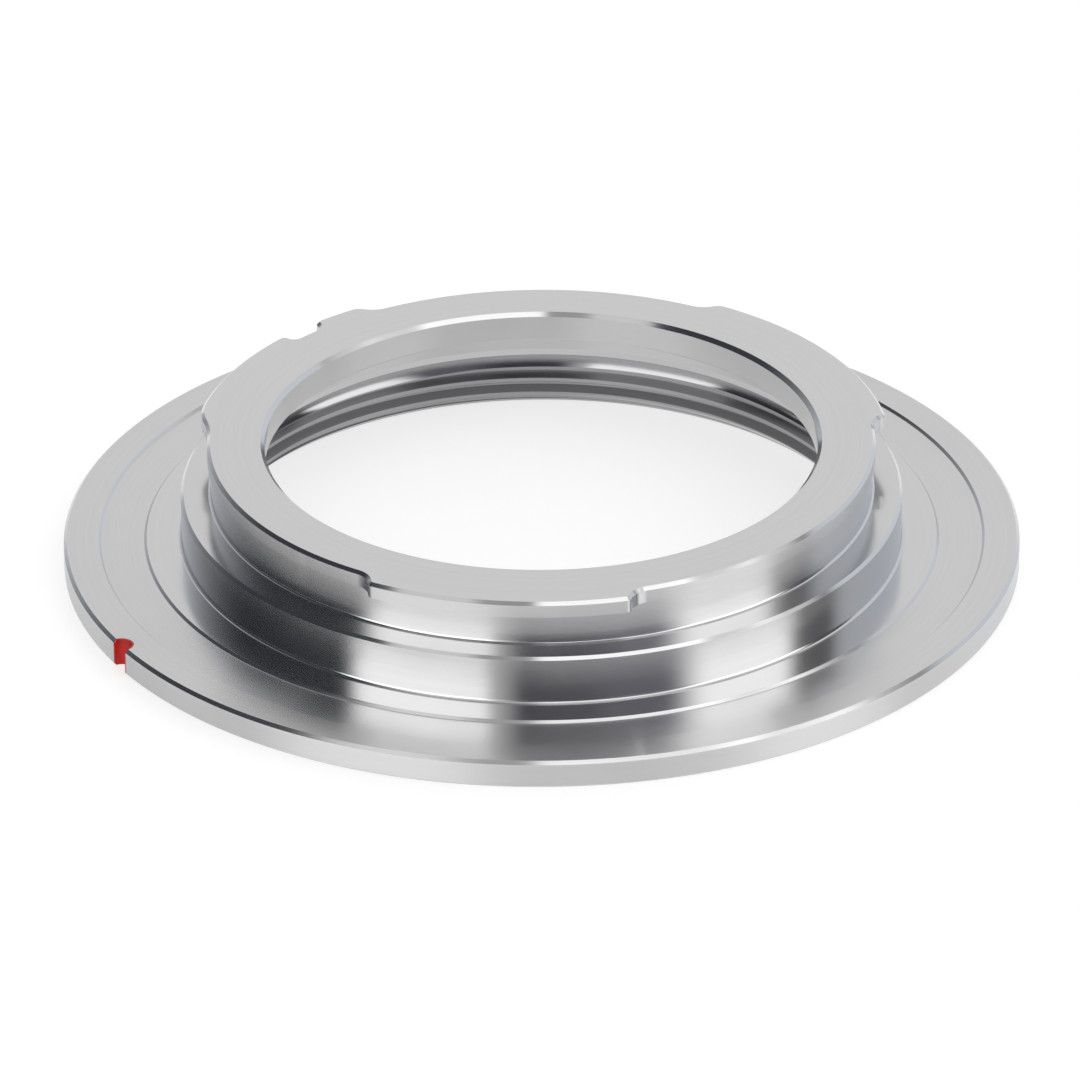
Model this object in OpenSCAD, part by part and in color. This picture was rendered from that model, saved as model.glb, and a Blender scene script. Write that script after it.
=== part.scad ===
// Lens mount adapter: a turned and milled metal ring. A screw-in lens goes into the threaded bore from
// below, and the three bayonet lugs on top turn into the camera's throat.
// Millimetres and degrees, +Z up. The flange's flat underside is at z = 0, and the axis is the Z axis.
// Angles run counter-clockwise from +X, seen from above.

/* [Flange] */
// Diameter of the flange
flange_d = 60; // [58:0.5:70]
// Thickness of the flange, from the lens's seat below to the camera's seat above
flange_t = 1.75; // [1.4:0.05:3]
// Bevel round the flange's upper rim
rim_bevel = 0.3; // [0.1:0.05:0.5]
// Bevel round the flange's lower rim
base_bevel = 0.12; // [0.05:0.01:0.3]
// Width of the flat ring round the collar that the camera's mount seats on
seat_w = 2.2; // [1.6:0.1:3]
// Width of the shallow channel outside that seat
channel_w = 3; // [1:0.1:4]
// Depth of that channel
channel_depth = 0.15; // [0.05:0.05:0.4]

/* [Bore] */
// Diameter of the bore at the roots of the lens thread
thread_d = 42; // [38:0.5:44]
// Height of the threaded stretch, up to the run-out groove
thread_h = 2.5; // [2.3:0.01:2.7]
// Lead-in bevel at the mouth of the thread
mouth_bevel = 0.2; // [0.1:0.01:0.35]
// Depth of the run-out groove above the thread
groove_depth = 0.2; // [0.15:0.01:0.4]
// Radius of the round that leads up into the run-out groove
groove_r = 1.3; // [1:0.05:1.5]
// Radius at the top of the run-out groove
groove_top_r = 0.25; // [0.1:0.01:0.3]
// Thickness of the web between the run-out groove and the collar's top
web_t = 0.78; // [0.6:0.02:1.2]

/* [Collar] */
// Wall of the collar outside the lens thread, so that the collar centres in the camera's throat
collar_wall = 1.6; // [1.2:0.05:2]
// Height of the collar above the flange
collar_rise = 3.08; // [2.8:0.02:4.5]
// Bevel round the collar's top
collar_bevel = 0.22; // [0.05:0.01:0.35]
// Radius of the fillet at the collar's foot
collar_fillet = 0.2; // [0.05:0.01:0.35]

/* [Tube] */
// Width of the ledge on the collar, outside the tube that carries the lugs
ledge_w = 1.9; // [1.5:0.05:2.2]
// Wall of the tube
tube_wall = 1.3; // [1:0.05:1.5]
// Height of the groove between the collar and the lugs, where the camera's claws run
claw_gap = 2.37; // [2:0.01:4]
// Radius of the fillet at the tube's foot
tube_fillet = 0.18; // [0.05:0.01:0.3]
// Width of the neck's steep flare above the run-out groove, measured along the radius
flare_w = 0.2; // [0.05:0.01:0.3]
// Height of the neck's flare
flare_h = 0.55; // [0.2:0.01:0.8]

/* [Lip] */
// How far the lip reaches in from the neck, to push the lens's aperture pin
lip_reach = 2.1; // [1:0.05:3]
// Thickness of the lip
lip_t = 1.86; // [1.2:0.02:2.4]
// Bevel round the top of the lip's hole
lip_bevel = 0.35; // [0.1:0.01:0.6]

/* [Lugs] */
// How far the lugs reach out past the tube
lug_reach = 1.13; // [1.05:0.01:1.3]
// How far the ring between the lugs stands out past the tube
land_reach = 0.2; // [0.15:0.01:0.3]
// Thickness of the lugs
lug_t = 1; // [0.8:0.05:1.6]
// Bevel round the top of the lugs
lug_bevel = 0.27; // [0.1:0.01:0.28]
// Radius of the cutter that milled the gaps, left at the lugs' roots
mill_r = 1.5; // [1:0.1:2]
// Radius of a crisp lug tip
crisp_tip_r = 0.4; // [0.34:0.02:0.6]
// Radius of a rounded lug tip
round_tip_r = 1; // [0.6:0.05:1.4]
// Tip radius at the slanted side of the stop slot
slot_tip_r = 0.38; // [0.34:0.02:0.5]
// Root radius at the slanted side of the stop slot
slot_slant_r = 0.8; // [0.4:0.05:1]
// Tip radius at the upright side of the stop slot
slot_hump_r = 0.5; // [0.34:0.02:0.6]
// Root radius at the upright side of the stop slot
slot_root_r = 0.4; // [0.25:0.01:0.5]
// Tip radius of the left lug's long tapered end
taper_tip_r = 5; // [3:0.5:6]
// Root radius of the left lug's long tapered end
taper_root_r = 7; // [4:0.5:8]
// Angle at which the right lug starts
right_from = 8.3; // [0:0.1:20]
// Angle over which the right lug runs
right_span = 48.6; // [30:0.1:60]
// Angle at which the left lug starts
left_from = 123.9; // [110:0.1:130]
// Angle over which the left lug runs, with its stop slot
left_span = 42.6; // [30:0.1:50]
// Angle from the left lug's start to its stop slot
slot_at = 6.7; // [5:0.1:9]
// Angle over which the stop slot is open
slot_span = 9.4; // [7:0.1:12]
// Angle at which the front lug starts
front_from = 241.7; // [230:0.1:250]
// Angle over which the front lug runs
front_span = 41.9; // [30:0.1:50]

/* [Index mark] */
// Angle of the index notch in the flange's rim
index_angle = 210; // [180:0.5:230]
// Width of the notch
index_w = 1.6; // [1:0.1:2.4]
// Depth of the notch
index_depth = 0.92; // [0.85:0.01:1.2]
// Thickness of the enamel in the notch
enamel_t = 0.12; // [0.05:0.01:0.2]

/* [Hidden] */
$fn = 240;

// How far cutting tools run past a face
over = 0.5;
// How far neighbouring rounds of a lug's end bite into each other, so that they cross
bite = 0.01;
// Angle by which a lug's end reaches back into the lug
overlap_angle = 2;

// Radii, from the bore outwards and then up to the lip
flange_r = flange_d / 2;
thread_r = thread_d / 2;
groove_wall_r = thread_r + groove_depth;
collar_r = thread_r + collar_wall;
channel_inner_r = collar_r + seat_w;
channel_outer_r = channel_inner_r + channel_w;
tube_r = collar_r - ledge_w;
neck_r = tube_r - tube_wall;
lip_r = neck_r - lip_reach;
lug_r = tube_r + lug_reach;
land_r = tube_r + land_reach;

// Heights above the underside
ledge_z = flange_t + collar_rise;
lug_z = ledge_z + claw_gap;
top_z = lug_z + lug_t;
lip_z = top_z - lip_t;
roof_z = ledge_z - web_t;
// Where the run-out groove is deepest: its round starts on the bore's wall at thread_h
groove_z = thread_h + sqrt(groove_r * groove_r - (groove_r - groove_depth) * (groove_r - groove_depth));

slot_from = left_from + slot_at;

// One row for each stretch of the lug ring that stands out:
// start angle, end angle, then tip and root radius at the start and at the end
LUGS = [
    [right_from, right_from + right_span, crisp_tip_r, mill_r, round_tip_r, mill_r],
    [left_from, slot_from, round_tip_r, mill_r, slot_tip_r, slot_slant_r],
    [slot_from + slot_span, left_from + left_span, slot_hump_r, slot_root_r, taper_tip_r, taper_root_r],
    [front_from, front_from + front_span, crisp_tip_r, mill_r, crisp_tip_r, mill_r]
];

// Ring whose section is a square of side r with a quarter circle cut out of its upper outer corner
module fillet_ring(wall_r, z, r) {
    rotate_extrude()
        translate([wall_r, z])
            difference() {
                translate([-over, -over])
                    square(r + over);
                translate([r, r])
                    circle(r);
                translate([-over, r])
                    square([r + over, over]);
                translate([r, -over])
                    square([over, r + over]);
            }
}

// Upright disc with a 45 degree bevel round its top
module bevelled_disc(r, z0, z1, bevel) {
    translate([0, 0, z0])
        cylinder(r = r, h = z1 - z0 - bevel);
    translate([0, 0, z1 - bevel])
        cylinder(r1 = r, r2 = r - bevel, h = bevel);
}

module flange_disc() {
    rotate_extrude()
        polygon([
            [0, 0],
            [flange_r - base_bevel, 0],
            [flange_r, base_bevel],
            [flange_r, flange_t - rim_bevel],
            [flange_r - rim_bevel, flange_t],
            [0, flange_t]
        ]);
}

// Shallow channel in the flange's upper face, with 45 degree sides
module channel_tool() {
    rotate_extrude()
        polygon([
            [channel_inner_r - over, flange_t + over],
            [channel_inner_r, flange_t],
            [channel_inner_r + channel_depth, flange_t - channel_depth],
            [channel_outer_r - channel_depth, flange_t - channel_depth],
            [channel_outer_r, flange_t],
            [channel_outer_r + over, flange_t + over]
        ]);
}

module collar() {
    bevelled_disc(collar_r, 0, ledge_z, collar_bevel);
    fillet_ring(collar_r, flange_t, collar_fillet);
}

module tube() {
    cylinder(r = tube_r, h = lug_z + lug_t / 2);
    fillet_ring(tube_r, ledge_z, tube_fillet);
}

// Angle between the centres of a lug's tip round and root round
function blend_angle(tip, root) =
    let (a = lug_r - tip + bite, b = land_r + root - bite, c = tip + root - bite)
    acos((a * a + b * b - c * c) / (2 * a * b));

// Upright post of the lug ring's outline, tapering in above the top bevel's foot
module post(r, taper) {
    translate([0, 0, lug_z - over])
        cylinder(r = r, h = over + lug_t - lug_bevel);
    translate([0, 0, top_z - lug_bevel])
        cylinder(r1 = r, r2 = r - taper, h = taper);
}

// End of a lug: a convex round at the tip runs into a concave one at the root.
// side is 1 where the lug ends and -1 where it starts.
module lug_end(angle, tip, root, side) {
    root_angle = angle + side * blend_angle(tip, root);
    inside_angle = angle - side * overlap_angle;
    inside_place = neck_r * [cos(inside_angle), sin(inside_angle)];
    tip_place = (lug_r - tip + bite) * [cos(angle), sin(angle)];
    root_place = (land_r + root - bite) * [cos(root_angle), sin(root_angle)];
    translate(tip_place)
        post(tip, tip);
    difference() {
        translate([0, 0, lug_z - over])
            linear_extrude(lug_t + 2 * over)
                polygon([[0, 0], inside_place, tip_place, root_place]);
        translate([root_place[0], root_place[1], lug_z - 2 * over])
            cylinder(r = root, h = lug_t + 4 * over);
        translate([root_place[0], root_place[1], top_z - lug_bevel])
            cylinder(r1 = root, r2 = root + lug_bevel + 2 * over, h = lug_bevel + 2 * over);
    }
}

// Middle of a lug: a sector that reaches out past the lug ring
module lug_sector(from, to) {
    rotate([0, 0, from])
        rotate_extrude(angle = to - from)
            translate([0, lug_z - over])
                square([lug_r + over, lug_t + 2 * over]);
}

module lug_ring() {
    intersection() {
        bevelled_disc(lug_r, lug_z, top_z, lug_bevel);
        union() {
            post(land_r, lug_bevel + over);
            for (lug = LUGS) {
                lug_sector(lug[0], lug[1]);
                lug_end(lug[0], lug[2], lug[3], -1);
                lug_end(lug[1], lug[4], lug[5], 1);
            }
        }
    }
}

// Everything that is bored out, from the mouth of the thread up to the top of the lip
module bore_tool() {
    rotate_extrude()
        polygon([
            [0, -over],
            [thread_r + mouth_bevel + over, -over],
            [thread_r, mouth_bevel],
            [thread_r, groove_z],
            [neck_r + flare_w, groove_z],
            [neck_r + flare_w, roof_z],
            [neck_r, roof_z + flare_h],
            [neck_r, lip_z],
            [lip_r, lip_z],
            [lip_r, top_z - lip_bevel],
            [lip_r + lip_bevel + over, top_z + over],
            [0, top_z + over]
        ]);
    rotate_extrude()
        groove_section();
}

// Section of the run-out groove above the thread, open towards the axis
module groove_section() {
    intersection() {
        translate([groove_wall_r - groove_r, groove_z])
            circle(groove_r);
        translate([lip_r, 0])
            square([groove_wall_r + over - lip_r, roof_z - groove_top_r]);
    }
    translate([lip_r, groove_z])
        square([groove_wall_r - lip_r, roof_z - groove_top_r - groove_z]);
    translate([lip_r, groove_z])
        square([groove_wall_r - groove_top_r - lip_r, roof_z - groove_z]);
    translate([groove_wall_r - groove_top_r, roof_z - groove_top_r])
        circle(groove_top_r);
}

// U-shaped notch through the flange's rim
module notch_tool(w) {
    rotate([0, 0, index_angle])
        translate([flange_r - index_depth + index_w / 2, 0, -over]) {
            cylinder(d = w, h = flange_t + 2 * over);
            translate([0, -w / 2, 0])
                cube([index_depth, w, flange_t + 2 * over]);
        }
}

module adapter_ring() {
    color("silver")
        difference() {
            union() {
                flange_disc();
                collar();
                tube();
                lug_ring();
            }
            channel_tool();
            bore_tool();
            notch_tool(index_w);
        }
}

// Enamel on the wall of the notch, flush with the flange all round
module index_mark() {
    color("firebrick")
        difference() {
            intersection() {
                flange_disc();
                notch_tool(index_w);
            }
            notch_tool(index_w - 2 * enamel_t);
        }
}

adapter_ring();
index_mark();
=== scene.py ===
"""Looks of the lens mount adapter: a finely revolved ring with its thread, metal and enamel, and a studio.

Built in millimetres and scaled to metres. Angles run counter-clockwise from +X, seen from above.
The sizes are those of the CAD model, with slimmer edge bevels, and the thread's turns are added inside its
plain bore.
"""
import math
import bpy
import numpy as np
from mathutils import Matrix, Vector
from mathutils.geometry import tessellate_polygon


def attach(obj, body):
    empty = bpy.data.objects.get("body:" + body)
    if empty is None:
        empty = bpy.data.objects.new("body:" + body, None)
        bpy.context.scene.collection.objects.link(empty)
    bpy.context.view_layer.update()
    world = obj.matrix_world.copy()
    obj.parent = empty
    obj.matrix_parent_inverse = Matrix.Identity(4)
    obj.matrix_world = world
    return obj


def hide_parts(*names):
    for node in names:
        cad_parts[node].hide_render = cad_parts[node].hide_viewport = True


MM = 0.001
UP = np.array([0.0, 0.0, 1.0])

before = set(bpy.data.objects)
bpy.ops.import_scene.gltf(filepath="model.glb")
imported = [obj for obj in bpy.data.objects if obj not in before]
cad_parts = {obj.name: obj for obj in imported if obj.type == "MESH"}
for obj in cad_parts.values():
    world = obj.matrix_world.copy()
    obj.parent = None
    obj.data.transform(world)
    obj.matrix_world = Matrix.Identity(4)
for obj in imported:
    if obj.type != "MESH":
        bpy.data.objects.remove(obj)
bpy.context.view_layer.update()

# Sizes of the CAD model, but for the bevels
FLANGE_R, FLANGE_T, RIM_BEVEL, BASE_BEVEL = 30.0, 1.75, 0.2, 0.12
CHANNEL_OUTER_R, CHANNEL_INNER_R, CHANNEL_DEPTH = 27.8, 24.8, 0.15
COLLAR_R, LEDGE_Z, COLLAR_BEVEL, COLLAR_FILLET = 22.6, 4.83, 0.18, 0.2
TUBE_R, TUBE_FILLET = 20.7, 0.18
LUG_R, LAND_R, LUG_Z, TOP_Z, LUG_BEVEL = 21.83, 20.9, 7.2, 8.2, 0.2
LIP_R, LIP_Z, LIP_BEVEL, NECK_R = 17.3, 6.34, 0.25, 19.4
FLARE_W, FLARE_H, ROOF_Z = 0.2, 0.55, 4.05
GROOVE_R, GROOVE_TOP_ROUND, GROOVE_ROUND, GROOVE_Z = 21.2, 0.25, 1.3, 3.193
THREAD_R, THREAD_TOP, MOUTH_BEVEL = 21.0, 2.3, 0.2
PITCH, CREST_R, CREST_FLAT, CREST_Z = 1.0, 20.46, 0.25, 0.58
INDEX_ANGLE, INDEX_W, INDEX_DEPTH = 210.0, 1.6, 0.92
EDGE_BREAK = 0.04   # worn corner of a sharp turned edge
# Start and end angle, then tip and root radius at the start and at the end
LUGS = [
    (8.3, 56.9, 0.4, 1.5, 1.0, 1.5),
    (123.9, 130.6, 1.0, 1.5, 0.38, 0.8),
    (140.0, 166.5, 0.5, 0.4, 5.0, 7.0),
    (241.7, 283.6, 0.4, 1.5, 0.4, 1.5),
]

# Columns and loops of the mesh
STEP = 0.5          # widest column, in degrees
BEND_STEPS = 8      # columns on each round of a lug's end, and loops on the groove's long round
FILLET_STEPS = 5    # loops on a fillet
NOTCH_STEPS = 18    # columns on the notch's half circle
NOTCH_SLIPS = (0.06, 0.03, 0.012)   # how far the bevels' inner edges run on past the notch's corner
SAME = 1e-6         # distance below which two corners of the section are one
WELD_DIGITS = 6     # decimals to which corners are welded
DIAGONAL = math.sqrt(0.5)   # both parts of the normal of a bevel at 45 degrees

# Lens thread: angle of its flanks to the radius, and the turns that its height takes in
FLANK = math.radians(30)
FLANK_RUN = (THREAD_R - CREST_R) * math.tan(FLANK)
TURNS = range(-2, 3)
PROBE, FLAT_RISE = 1e-4, 5e-6   # a step up the wall, and the change of radius over it that no flat reaches


def direction(degrees):
    """Unit vectors in the plane at these angles."""
    a = np.radians(degrees)
    return np.stack([np.cos(a), np.sin(a), np.zeros_like(a)], axis=-1)


def lug_outline():
    """Columns of the lug ring's outline: nominal angle, point and outward direction."""
    rows = []

    def ring_arc(radius, start, end, count=None):
        """Columns from start up to end, end left out: count of them, or as many as STEP asks for."""
        count = count or max(1, math.ceil((end - start) / STEP))
        for i in range(count):
            a = start + (end - start) * i / count
            d = direction(np.array(a))
            rows.append((a, radius * d, d))

    def lug_end(angle, tip, root, side):
        """A lug's end from its tip's round to its root's: the angle of its foot, and its columns."""
        a, b, c = LUG_R - tip, LAND_R + root, tip + root
        blend = math.degrees(math.acos((a * a + b * b - c * c) / (2 * a * b)))
        foot = angle + side * blend
        tip_at, root_at = a * direction(np.array(angle)), b * direction(np.array(foot))
        across = root_at - tip_at
        turn = math.degrees(math.atan2(across[1], across[0]))
        tip_turn = (turn - angle + 180) % 360 - 180
        root_turn = (foot - turn + 180) % 360 - 180
        steps = max(BEND_STEPS, math.ceil(blend / 2 / STEP))
        found = []
        for i in range(steps):
            d = direction(np.array(angle + tip_turn * i / steps))
            found.append((tip_at + tip * d, d))
        for i in range(steps + 1):
            d = direction(np.array(turn + root_turn * i / steps))
            found.append((root_at - root * d, d))
        found = [(angle + (foot - angle) * i / (len(found) - 1), *p) for i, p in enumerate(found)]
        return foot, found

    ends = [(lug_end(r[0], r[2], r[3], -1), lug_end(r[1], r[4], r[5], 1)) for r in LUGS]
    for i, (row, (first, last)) in enumerate(zip(LUGS, ends)):
        rows += first[1][::-1][:-1]
        ring_arc(LUG_R, row[0], row[1])
        rows += last[1][:-1]
        foot = ends[(i + 1) % len(ends)][0][0] + (360 if i == len(LUGS) - 1 else 0)
        gap_from = last[0]
        if gap_from < INDEX_ANGLE < foot:
            left, right = notch_span()
            ring_arc(LAND_R, gap_from, left)
            ring_arc(LAND_R, left, right, len(notch_path()) - 1)
            ring_arc(LAND_R, right, foot)
        else:
            ring_arc(LAND_R, gap_from, foot)
    return rows


def notch_span():
    """Angles of the notch's two corners on the rim."""
    half = math.degrees(math.asin(INDEX_W / 2 / FLANGE_R))
    return INDEX_ANGLE - half, INDEX_ANGLE + half


def notch_path():
    """The notch's outline in its own frame (along its radius, across it), from one corner to the other,
    with the direction into the open notch on either side of each point."""
    half = INDEX_W / 2
    centre = FLANGE_R - INDEX_DEPTH + half
    corner = math.sqrt(FLANGE_R ** 2 - half ** 2)

    def turn_at(radius):
        """The angle on the half circle where it lies that far from the axis."""
        return math.degrees(math.asin((centre ** 2 + half ** 2 - radius ** 2) / (2 * centre * half)))

    base, cut = turn_at(FLANGE_R - BASE_BEVEL), turn_at(FLANGE_R - RIM_BEVEL)
    turns = [base, cut / 2, cut]
    turns += [cut + (180 - 2 * cut) * i / NOTCH_STEPS for i in range(1, NOTCH_STEPS)]
    turns += [180 - cut, 180 - cut / 2, 180 - base]
    path = [(corner, -half, 0.0, 1.0)]
    for t in turns:
        a = math.radians(t)
        path.append((centre - half * math.sin(a), -half * math.cos(a), math.sin(a), math.cos(a)))
    path.append((corner, half, 0.0, -1.0))
    return path


OUTLINE = lug_outline()
OUTLINE.append((OUTLINE[0][0] + 360, OUTLINE[0][1], OUTLINE[0][2]))
THETA = np.array([r[0] for r in OUTLINE])
OUTLINE_AT = np.array([r[1] for r in OUTLINE])
OUTLINE_OUT = np.array([r[2] for r in OUTLINE])
RADIAL = direction(THETA)
COLUMNS = len(THETA) - 1

# Loops and strips
loops = []      # one edge round the ring each: (columns + 1, 3)
strips = []     # normals of the strip that leads to each loop, or the way that a level ring looks
section = []    # (r, z) of the turned loops, of which the last is in use


def add_loop(points, normals):
    """normals: (before-left, before-right, after-left, after-right) of the strip to this loop, (columns, 3)
    each. A number instead means a level ring, looking up (1) or down (-1), that is filled with triangles."""
    loops.append(points)
    strips.append(normals)


def both(at_start, at_end):
    """Normals given per column for the strip's first and last edge."""
    return at_start[:-1], at_start[1:], at_end[:-1], at_end[1:]


def tilt(out, nr, nz):
    """Normals with a part nr outwards and a part nz upwards."""
    return nr * out + nz * UP


def place(r, z):
    """A circle of radius r at height z."""
    return r * RADIAL + z * UP


def turned(r, z, start_normal=None, end_normal=None):
    """A turned loop. The cone from the one before has the normal that follows from it, or those given."""
    if start_normal is None:
        dr, dz = r - section[-1][0], z - section[-1][1]
        size = math.hypot(dr, dz)
        start_normal = end_normal = (dz / size, -dr / size)
    add_loop(place(r, z), both(tilt(RADIAL, *start_normal), tilt(RADIAL, *end_normal)))
    section.append((r, z))


def rounded(cr, cz, radius, start, end):
    """A concave round about (cr, cz), from angle start to end in the section."""
    spots = []
    for i in range(FILLET_STEPS + 1):
        a = math.radians(start + (end - start) * i / FILLET_STEPS)
        spots.append((cr + radius * math.cos(a), cz + radius * math.sin(a), (-math.cos(a), -math.sin(a))))
    if math.hypot(section[-1][0] - spots[0][0], section[-1][1] - spots[0][1]) > SAME:
        turned(spots[0][0], spots[0][1])
    for before, after in zip(spots, spots[1:]):
        turned(after[0], after[1], before[2], after[2])


def rim_loops():
    """The underside, and the flange's rim with its bevels and the index notch cut through it."""

    def radials(points):
        flat = points * np.array([1.0, 1.0, 0.0])
        return flat / np.linalg.norm(flat, axis=1)[:, None]

    left, _ = notch_span()
    first = int(np.argmin(abs(THETA - left)))
    path = notch_path()
    along, across = direction(np.array(INDEX_ANGLE)), direction(np.array(INDEX_ANGLE + 90.0))
    low_in, low_out = place(FLANGE_R - BASE_BEVEL, 0), place(FLANGE_R, BASE_BEVEL)
    high_out, high_in = place(FLANGE_R, FLANGE_T - RIM_BEVEL), place(FLANGE_R - RIM_BEVEL, FLANGE_T)
    wall_before, wall_after = RADIAL.copy(), RADIAL.copy()
    for i, (a, b, na, nb) in enumerate(path):
        spot = a * along + b * across
        r = math.hypot(spot[0], spot[1])
        base = max(0.0, r - (FLANGE_R - BASE_BEVEL))
        top = FLANGE_T - max(0.0, r - (FLANGE_R - RIM_BEVEL))
        j = first + i
        low_out[j] = spot + base * UP
        high_out[j] = spot + top * UP
        edge = min(i, len(path) - 1 - i)
        near_corner = edge < len(NOTCH_SLIPS)
        slip = NOTCH_SLIPS[edge] / FLANGE_R if near_corner else 0.0
        sign = -1 if i < len(path) / 2 else 1
        flat = direction(np.array(math.degrees(math.atan2(spot[1], spot[0]) + sign * slip)))
        high_in[j] = (FLANGE_R - RIM_BEVEL) * flat + FLANGE_T * UP if near_corner else high_out[j]
        low_in[j] = (FLANGE_R - BASE_BEVEL) * flat if edge < 1 else low_out[j]
        inward = na * along + nb * across
        wall_before[j] = inward if i > 0 else RADIAL[j]
        wall_after[j] = inward if i < len(path) - 1 else RADIAL[j]
    down = tilt(RADIAL, 0, -1)
    add_loop(low_in, both(down, down))
    add_loop(low_out, both(tilt(radials(low_in), 1, -1), tilt(radials(low_out), 1, -1)))
    add_loop(high_out, (wall_after[:-1], wall_before[1:], wall_after[:-1], wall_before[1:]))
    add_loop(high_in, both(tilt(radials(high_out), 1, 1), tilt(radials(high_in), 1, 1)))


def thread_radius(z, theta):
    """Radius of the thread's surface, and of the cone at its mouth, which cuts it where it is wider."""
    off = np.abs((z - CREST_Z - PITCH * theta / 360 + PITCH / 2) % PITCH - PITCH / 2)
    turns = CREST_R + np.clip((off - CREST_FLAT / 2) / FLANK_RUN, 0, 1) * (THREAD_R - CREST_R)
    return turns, THREAD_R + MOUTH_BEVEL - z


def thread_loops():
    """Radius and height of the thread's corners in each column, from the groove down to the mouth."""
    slope = (THREAD_R - CREST_R) / FLANK_RUN
    levels = []
    for k in TURNS:
        mid = CREST_Z + PITCH * (k + THETA / 360)
        z0, z1 = mid - CREST_FLAT / 2 - FLANK_RUN, mid - CREST_FLAT / 2
        z2, z3 = mid + CREST_FLAT / 2, mid + CREST_FLAT / 2 + FLANK_RUN
        z4 = z0 + PITCH
        mouth = THREAD_R + MOUTH_BEVEL
        low = (slope * z0 - (mouth - THREAD_R)) / (slope - 1)
        high = (mouth - CREST_R + slope * z2) / (slope + 1)
        levels += [z0, np.clip(low, z0, z1), z1, np.clip(mouth - CREST_R, z1, z2), z2,
                   np.clip(high, z2, z3), z3, np.clip(mouth - THREAD_R, z3, z4)]
    levels = [np.clip(level, 0, THREAD_TOP) for level in levels][::-1]
    top = np.full_like(THETA, THREAD_TOP)
    levels = [top] + levels + [np.zeros_like(THETA)]
    found = []
    for level in levels:
        turns, cone = thread_radius(level, THETA)
        found.append((np.maximum(turns, cone), level))
    return found


def build_section():
    """All loops, from the underside's outer edge over the rim, collar and lugs down the bore to its mouth."""
    rim_loops()
    section.append((FLANGE_R - RIM_BEVEL, FLANGE_T))
    turned(CHANNEL_OUTER_R, FLANGE_T)
    turned(CHANNEL_OUTER_R - CHANNEL_DEPTH, FLANGE_T - CHANNEL_DEPTH)
    turned(CHANNEL_INNER_R + CHANNEL_DEPTH, FLANGE_T - CHANNEL_DEPTH)
    turned(CHANNEL_INNER_R, FLANGE_T)
    rounded(COLLAR_R + COLLAR_FILLET, FLANGE_T + COLLAR_FILLET, COLLAR_FILLET, 270, 180)
    turned(COLLAR_R, LEDGE_Z - COLLAR_BEVEL)
    turned(COLLAR_R - COLLAR_BEVEL, LEDGE_Z)
    rounded(TUBE_R + TUBE_FILLET, LEDGE_Z + TUBE_FILLET, TUBE_FILLET, 270, 180)
    turned(TUBE_R, LUG_Z)
    slant = tilt(OUTLINE_OUT, 1, 1)
    add_loop(OUTLINE_AT + LUG_Z * UP, -1)
    add_loop(OUTLINE_AT + (TOP_Z - LUG_BEVEL) * UP, both(OUTLINE_OUT, OUTLINE_OUT))
    add_loop(OUTLINE_AT - LUG_BEVEL * OUTLINE_OUT + TOP_Z * UP, both(slant, slant))
    add_loop(place(LIP_R + LIP_BEVEL, TOP_Z), 1)
    section.append((LIP_R + LIP_BEVEL, TOP_Z))
    turned(LIP_R, TOP_Z - LIP_BEVEL)
    turned(LIP_R, LIP_Z + EDGE_BREAK)
    turned(LIP_R + EDGE_BREAK, LIP_Z)
    turned(NECK_R, LIP_Z)
    turned(NECK_R, ROOF_Z + FLARE_H)
    turned(NECK_R + FLARE_W, ROOF_Z + EDGE_BREAK)
    turned(NECK_R + FLARE_W + EDGE_BREAK, ROOF_Z)
    rounded(GROOVE_R - GROOVE_TOP_ROUND, ROOF_Z - GROOVE_TOP_ROUND, GROOVE_TOP_ROUND, 90, 0)
    turned(GROOVE_R, GROOVE_Z)
    threads = thread_loops()
    groove_loops(threads[0][0])
    for above, here in zip(threads, threads[1:]):
        thread_strip(above, here)


def groove_loops(bore_r):
    """The long round from the groove's wall down to the land at the thread's top.
    bore_r: radius of the bore there, in each column."""
    centre_r = GROOVE_R - GROOVE_ROUND
    foot_r = centre_r + math.sqrt(GROOVE_ROUND ** 2 - (GROOVE_Z - THREAD_TOP) ** 2)
    foot_turn = math.degrees(math.acos((foot_r - centre_r) / GROOVE_ROUND))
    before = (-1.0, 0.0)
    for i in range(1, BEND_STEPS + 1):
        a = math.radians(foot_turn * i / BEND_STEPS)
        r = np.maximum(centre_r + GROOVE_ROUND * math.cos(a), bore_r)
        z = GROOVE_Z - np.sqrt(GROOVE_ROUND ** 2 - (r - centre_r) ** 2)
        after = (-math.cos(a), math.sin(a))
        add_loop(r[:, None] * RADIAL + z[:, None] * UP, both(tilt(RADIAL, *before), tilt(RADIAL, *after)))
        before = after
    land = np.where((bore_r < foot_r)[:, None], UP, -RADIAL)
    add_loop(bore_r[:, None] * RADIAL + THREAD_TOP * UP, both(land, land))


def thread_strip(above, here):
    """One strip of the thread, between two of its heights: crest, root, flank or the cone at the mouth."""
    mid_z = (here[1][:-1] + here[1][1:] + above[1][:-1] + above[1][1:]) / 4
    mid_theta = (THETA[:-1] + THETA[1:]) / 2
    turns, cone = thread_radius(mid_z, mid_theta)
    higher, _ = thread_radius(mid_z + PROBE, mid_theta)
    rise = higher - turns
    on_flank, on_cone = abs(rise) > FLAT_RISE, cone > turns
    nr = np.where(on_cone, -DIAGONAL, np.where(on_flank, -math.sin(FLANK), -1.0))
    nz = np.where(on_cone, -DIAGONAL, np.where(on_flank, np.sign(rise) * math.cos(FLANK), 0.0))
    left = nr[:, None] * RADIAL[:-1] + nz[:, None] * UP
    right = nr[:, None] * RADIAL[1:] + nz[:, None] * UP
    add_loop(here[0][:, None] * RADIAL + here[1][:, None] * UP, (left, right, left, right))


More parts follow.
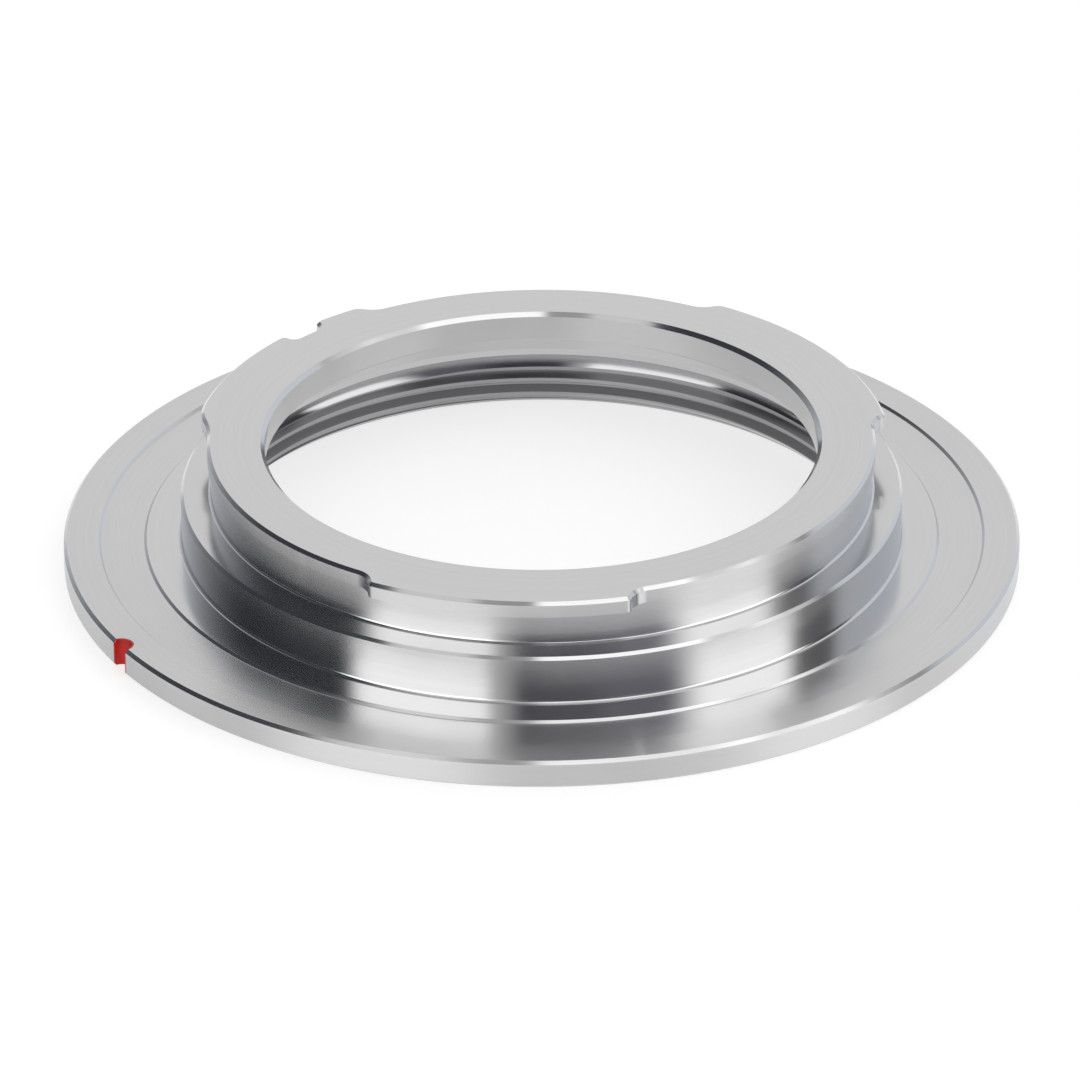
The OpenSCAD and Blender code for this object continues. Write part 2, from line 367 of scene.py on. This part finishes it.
def level_ring(spots, first, second, side):
    """Triangles that fill the level ring between two loops, all turned to look up (1) or down (-1)."""
    edges = []
    for loop in (first, second):
        edges.append([v for n, v in enumerate(loop[:-1]) if v != loop[n - 1] or n == 0])
    corners = edges[0] + edges[1]
    found = []
    for triangle in tessellate_polygon([[Vector(spots[v]) for v in edge] for edge in edges]):
        a, b, c = (corners[t] for t in triangle)
        turn = np.cross(spots[b] - spots[a], spots[c] - spots[a])[2]
        found.append([a, b, c] if turn * side > 0 else [a, c, b])
    return found


def ring_mesh():
    """Welds the loops into one closed mesh with the exact normals of each strip."""
    build_section()
    count = len(loops)
    spots = np.round(np.concatenate(loops), WELD_DIGITS) + 0.0     # the sum turns -0.0 into 0.0
    unique, index = np.unique(spots, axis=0, return_inverse=True)
    index = index.reshape(count, COLUMNS + 1)
    faces, normals = [], []
    for i in range(count):
        before, after = index[i - 1], index[i]
        if isinstance(strips[i], int):
            filled = level_ring(unique, before, after, strips[i])
            faces += filled
            normals += [UP * strips[i]] * (3 * len(filled))
            continue
        near_left, near_right, far_left, far_right = strips[i]
        for j in range(COLUMNS):
            corners = [(before[j], near_left[j]), (before[j + 1], near_right[j]),
                       (after[j + 1], far_right[j]), (after[j], far_left[j])]
            kept = [c for n, c in enumerate(corners) if c[0] != corners[n - 1][0]]
            if len({c[0] for c in kept}) >= 3:
                faces.append([c[0] for c in kept])
                normals += [c[1] for c in kept]
    normals = np.array(normals)
    normals /= np.linalg.norm(normals, axis=1)[:, None]
    mesh = bpy.data.meshes.new("ring")
    mesh.from_pydata(unique * MM, [], faces)
    mesh.polygons.foreach_set("use_smooth", [True] * len(faces))
    mesh.normals_split_custom_set(normals.tolist())
    mesh.update()
    return mesh


ring = bpy.data.objects.new("ring_turned", ring_mesh())
bpy.context.scene.collection.objects.link(ring)
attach(ring, "root")
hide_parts("adapter_ring")

# Materials: noise scales per metre, then linear colours
FINE_LINES, BROAD_LINES, CLOUDS = 5200.0, 2300.0, 160.0
METAL_DARK, METAL_LIGHT = (0.586, 0.586, 0.589, 1), (0.598, 0.598, 0.602, 1)
# Painted shade: darker metal colours for the threaded bore and for the inner walls of the neck and lip
BORE_SHADE_COLOUR, NECK_SHADE_COLOUR = (0.34, 0.34, 0.35, 1), (0.52, 0.52, 0.525, 1)
ENAMEL_DARK, ENAMEL_LIGHT = (0.38, 0.012, 0.010, 1), (0.50, 0.020, 0.015, 1)
PAPER_DARK, PAPER_LIGHT, PAPER_GLOW = (0.31, 0.31, 0.31, 1), (0.33, 0.33, 0.33, 1), 0.7
# Roughness of the flats, and what the flange and the walls add to it
FLAT_ROUGH, FLANGE_ROUGH, COLLAR_ROUGH, WALL_ROUGH = (0.10, 0.14), 0.08, 0.04, 0.12


class Nodes:
    """Short calls for making a node tree."""

    def __init__(self, tree):
        self.tree = tree
        tree.nodes.clear()

    def add(self, kind, inputs=(), **settings):
        node = self.tree.nodes.new(kind)
        for key, value in settings.items():
            setattr(node, key, value)
        for key, value in dict(inputs).items():
            if isinstance(value, bpy.types.NodeSocket):
                self.tree.links.new(value, node.inputs[key])
            else:
                node.inputs[key].default_value = value
        return node

    def math(self, operation, *values):
        return self.add("ShaderNodeMath", dict(enumerate(values)), operation=operation).outputs[0]

    def smooth(self, value, start, end, low=0.0, high=1.0):
        node = self.add("ShaderNodeMapRange", interpolation_type="SMOOTHSTEP")
        self.tree.links.new(value, node.inputs["Value"])
        for key, number in (("From Min", start), ("From Max", end), ("To Min", low), ("To Max", high)):
            node.inputs[key].default_value = number
        return node.outputs["Result"]

    def noise(self, vector, scale, detail):
        inputs = {"Vector": vector, "Scale": scale, "Detail": detail}
        return self.add("ShaderNodeTexNoise", inputs).outputs["Fac"]

    def output(self, kind, shader):
        self.tree.links.new(shader.outputs[0], self.add(kind).inputs[0])

    def mix(self, share, first, second):
        """A mix of two colours. 0, 6 and 7 are its sockets for the share and the two, and 2 the result."""
        node = self.add("ShaderNodeMix", data_type="RGBA")
        for key, value in ((0, share), (6, first), (7, second)):
            if isinstance(value, bpy.types.NodeSocket):
                self.tree.links.new(value, node.inputs[key])
            else:
                node.inputs[key].default_value = value
        return node.outputs[2]


def new_material(name):
    material = bpy.data.materials.new(name)
    material.use_nodes = True
    return material, Nodes(material.node_tree)


def ring_metal():
    """Bright turned metal: fine rings round the axis and a few faint clouds. Its colour is darkened as
    painted shade in the threaded bore and on the neck's inner walls. It is rougher on the flange, and its
    walls are roughest, but for the collar's."""
    material, n = new_material("ring_metal")
    spot = n.add("ShaderNodeTexCoord").outputs
    xyz = n.add("ShaderNodeSeparateXYZ", {0: spot["Object"]}).outputs
    facing = n.add("ShaderNodeSeparateXYZ", {0: spot["Normal"]}).outputs[2]
    wall = n.smooth(n.math("ABSOLUTE", facing), 0.5, 0.2)
    squares = [n.math("MULTIPLY", side, side) for side in (xyz[0], xyz[1])]
    radius = n.math("SQRT", n.math("ADD", *squares))
    across = n.add("ShaderNodeCombineXYZ", {0: radius, 1: xyz[2]}).outputs[0]
    fine = n.noise(across, FINE_LINES, 0.0)
    broad = n.noise(across, BROAD_LINES, 0.0)
    cloud = n.noise(spot["Object"], CLOUDS, 1.0)
    marks = n.math("ADD", n.math("MULTIPLY", fine, 0.6), n.math("MULTIPLY", broad, 0.4))

    def past(start, end, low=0.0, high=1.0):
        """Rises from low to high as the radius in millimetres goes from start to end."""
        return n.smooth(radius, start * MM, end * MM, low, high)

    # Painted shade: the metal turns darker in the threaded bore, below the groove
    bore_shade = n.math("MULTIPLY", past(GROOVE_R + 0.2, GROOVE_R),
                     n.smooth(xyz[2], (GROOVE_Z + 0.6) * MM, (GROOVE_Z + 0.1) * MM))
    # Painted shade: the walls inside the tube's radius, those of the neck and lip, get a darker colour
    neck_shade = n.math("MULTIPLY", past(TUBE_R - 0.5, TUBE_R - 0.9), wall)
    colour = n.mix(n.smooth(marks, 0.3, 0.7), METAL_DARK, METAL_LIGHT)
    colour = n.mix(bore_shade, colour, BORE_SHADE_COLOUR)
    colour = n.mix(neck_shade, colour, NECK_SHADE_COLOUR)

    on_flange = past(CHANNEL_INNER_R - 0.1, CHANNEL_INNER_R + 0.1)
    from_collar = n.math("ABSOLUTE", n.math("SUBTRACT", radius, COLLAR_R * MM))
    wall_rough = n.smooth(from_collar, 0.1 * MM, 0.3 * MM, COLLAR_ROUGH, WALL_ROUGH)
    rough = n.smooth(cloud, 0.3, 0.7, *FLAT_ROUGH)
    rough = n.math("ADD", rough, n.math("MULTIPLY", on_flange, FLANGE_ROUGH))
    rough = n.math("ADD", rough, n.math("MULTIPLY", wall, wall_rough))
    bump = n.add("ShaderNodeBump", {"Height": broad, "Strength": 0.012, "Distance": 0.01 * MM})
    tangent = n.add("ShaderNodeTangent", direction_type="RADIAL", axis="Z")
    shader = n.add("ShaderNodeBsdfPrincipled", {
        "Base Color": colour, "Metallic": 1.0, "Roughness": rough, "Normal": bump.outputs[0],
        "Anisotropic": 0.9, "Anisotropic Rotation": 0.25, "Tangent": tangent.outputs[0]})
    n.output("ShaderNodeOutputMaterial", shader)
    return material


def red_enamel():
    """Glossy red enamel, a little uneven in colour and surface."""
    material, n = new_material("red_enamel")
    place_at = n.add("ShaderNodeTexCoord").outputs["Object"]
    cloud = n.noise(place_at, 900.0, 3.0)
    ripple = n.noise(place_at, 2500.0, 2.0)
    colour = n.mix(n.smooth(cloud, 0.3, 0.7), ENAMEL_DARK, ENAMEL_LIGHT)
    bump = n.add("ShaderNodeBump", {"Height": ripple, "Strength": 0.15, "Distance": 0.04 * MM})
    rough = n.smooth(cloud, 0.3, 0.7, 0.25, 0.38)
    shader = n.add("ShaderNodeBsdfPrincipled", {
        "Base Color": colour, "Roughness": rough, "Specular IOR Level": 0.25, "Normal": bump.outputs[0]})
    n.output("ShaderNodeOutputMaterial", shader)
    return material


def paper():
    """Pale paper with a little light of its own, so that it stays pale under the ring."""
    material, n = new_material("paper")
    place_at = n.add("ShaderNodeTexCoord").outputs["Object"]
    cloud = n.noise(place_at, 3.0, 3.0)
    colour = n.mix(n.smooth(cloud, 0.3, 0.7), PAPER_DARK, PAPER_LIGHT)
    shader = n.add("ShaderNodeBsdfPrincipled", {
        "Base Color": colour, "Roughness": 0.5, "Emission Color": (1, 1, 1, 1),
        "Emission Strength": PAPER_GLOW})
    n.output("ShaderNodeOutputMaterial", shader)
    return material


def paint(thing, material):
    """Gives a thing this material alone."""
    thing.data.materials.clear()
    thing.data.materials.append(material)


paint(ring, ring_metal())
enamel = red_enamel()
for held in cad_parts["index_mark"].material_slots:
    held.material = enamel

# Floor, studio and camera


def make_floor():
    """A sheet of paper, a hair below the ring's underside so that the two don't share a plane."""
    size, z = 1.5, -0.02 * MM
    mesh = bpy.data.meshes.new("floor")
    corners = [(-size, -size, z), (size, -size, z), (size, size, z), (-size, size, z)]
    mesh.from_pydata(corners, [], [(0, 1, 2, 3)])
    made = bpy.data.objects.new("floor", mesh)
    bpy.context.scene.collection.objects.link(made)
    paint(made, paper())


# Soft panels round the table. Azimuth 0 is the photograph's side, and it grows towards +X.
STUDIO = (0.95, 0.94, 0.935, 1)
DARK, BRIGHT = (0.055, 0.06, 0.07), (2.4, 2.4, 2.4)
# Start and end azimuth, start and end elevation, softness of the edges, softness at the start azimuth,
# colour. A later panel lies over the earlier ones.
PANELS = [
    (-172, -100, -20, 44, 4, 4, (0.8, 0.83, 0.88)),
    (-140, -63, -20, 66, 3, 32, DARK),
    (-60, -30, 46, 70, 5, 5, (0.9, 0.9, 0.9)),
    (-30, -3, 46, 74, 5, 5, (0.45, 0.45, 0.46)),
    (-62, -17, -5, 45, 3, 3, BRIGHT),
    (-10, 47, -5, 47, 5, 5, (0.1, 0.1, 0.125)),
    (20, 47, -5, 47, 8, 8, (0.25, 0.25, 0.29)),
    (48, 87, -20, 60, 5, 9, BRIGHT),
    (64, 110, 42, 60, 5, 5, (1.0, 1.0, 1.01)),
    (87, 109, -20, 34, 3, 3, (0.08, 0.08, 0.09)),
    (-2, 64, 50, 76, 4, 4, (1.65, 1.65, 1.65)),
    (108, 168, -20, 34, 5, 5, (0.84, 0.88, 0.95)),
]


def make_studio():
    """The panels as the world's background."""
    world = bpy.data.worlds.new("studio")
    bpy.context.scene.world = world
    world.use_nodes = True
    n = Nodes(world.node_tree)
    xyz = n.add("ShaderNodeSeparateXYZ", {0: n.add("ShaderNodeTexCoord").outputs["Generated"]}).outputs
    to_degrees = 180 / math.pi
    azimuth = n.math("MULTIPLY", n.math("ARCTAN2", xyz[0], n.math("MULTIPLY", xyz[1], -1.0)), to_degrees)
    height = n.math("MULTIPLY", n.math("ARCSINE", xyz[2]), to_degrees)
    colour = STUDIO
    for az0, az1, el0, el1, soft, fade, shade in PANELS:
        edges = [n.smooth(azimuth, az0 - fade, az0 + fade), n.smooth(azimuth, az1 + soft, az1 - soft),
                 n.smooth(height, el0 - soft, el0 + soft), n.smooth(height, el1 + soft, el1 - soft)]
        inside, level = n.math("MULTIPLY", *edges[:2]), n.math("MULTIPLY", *edges[2:])
        colour = n.mix(n.math("MULTIPLY", inside, level), colour, (*shade, 1))
    background = n.add("ShaderNodeBackground", {"Color": colour, "Strength": 1.0})
    n.output("ShaderNodeOutputWorld", background)


def make_camera():
    """The photograph's camera, in metres from the ring's centre. Its focal length and the place of the ring's
    centre are in pixels of the photograph."""
    elevation, roll, distance = math.radians(28.05), math.radians(-0.279), 0.6
    width, focal, sensor = 1080, 9538.6, 36.0
    centre_x, centre_y = 541.755 - width / 2, width / 2 - 553.212
    right = Vector((1, 0, 0))
    ahead = Vector((0, math.cos(elevation), -math.sin(elevation)))
    up = right.cross(ahead)
    rolled_right = math.cos(roll) * right + math.sin(roll) * up
    rolled_up = -math.sin(roll) * right + math.cos(roll) * up
    aim = (ahead * focal - rolled_right * centre_x - rolled_up * centre_y).normalized()
    aimed_right = (rolled_right - aim * rolled_right.dot(aim)).normalized()
    aimed_up = aimed_right.cross(aim)
    lens = bpy.data.cameras.new("camera")
    lens.sensor_width, lens.lens = sensor, focal / width * sensor
    lens.clip_start, lens.clip_end = 0.01, 20
    camera = bpy.data.objects.new("camera", lens)
    turn = Matrix((aimed_right, aimed_up, -aim)).transposed()
    camera.matrix_world = Matrix.Translation(-ahead * distance) @ turn.to_4x4()
    bpy.context.scene.collection.objects.link(camera)
    bpy.context.scene.camera = camera


make_floor()
make_studio()
make_camera()
bpy.context.scene.view_settings.view_transform = "Standard"
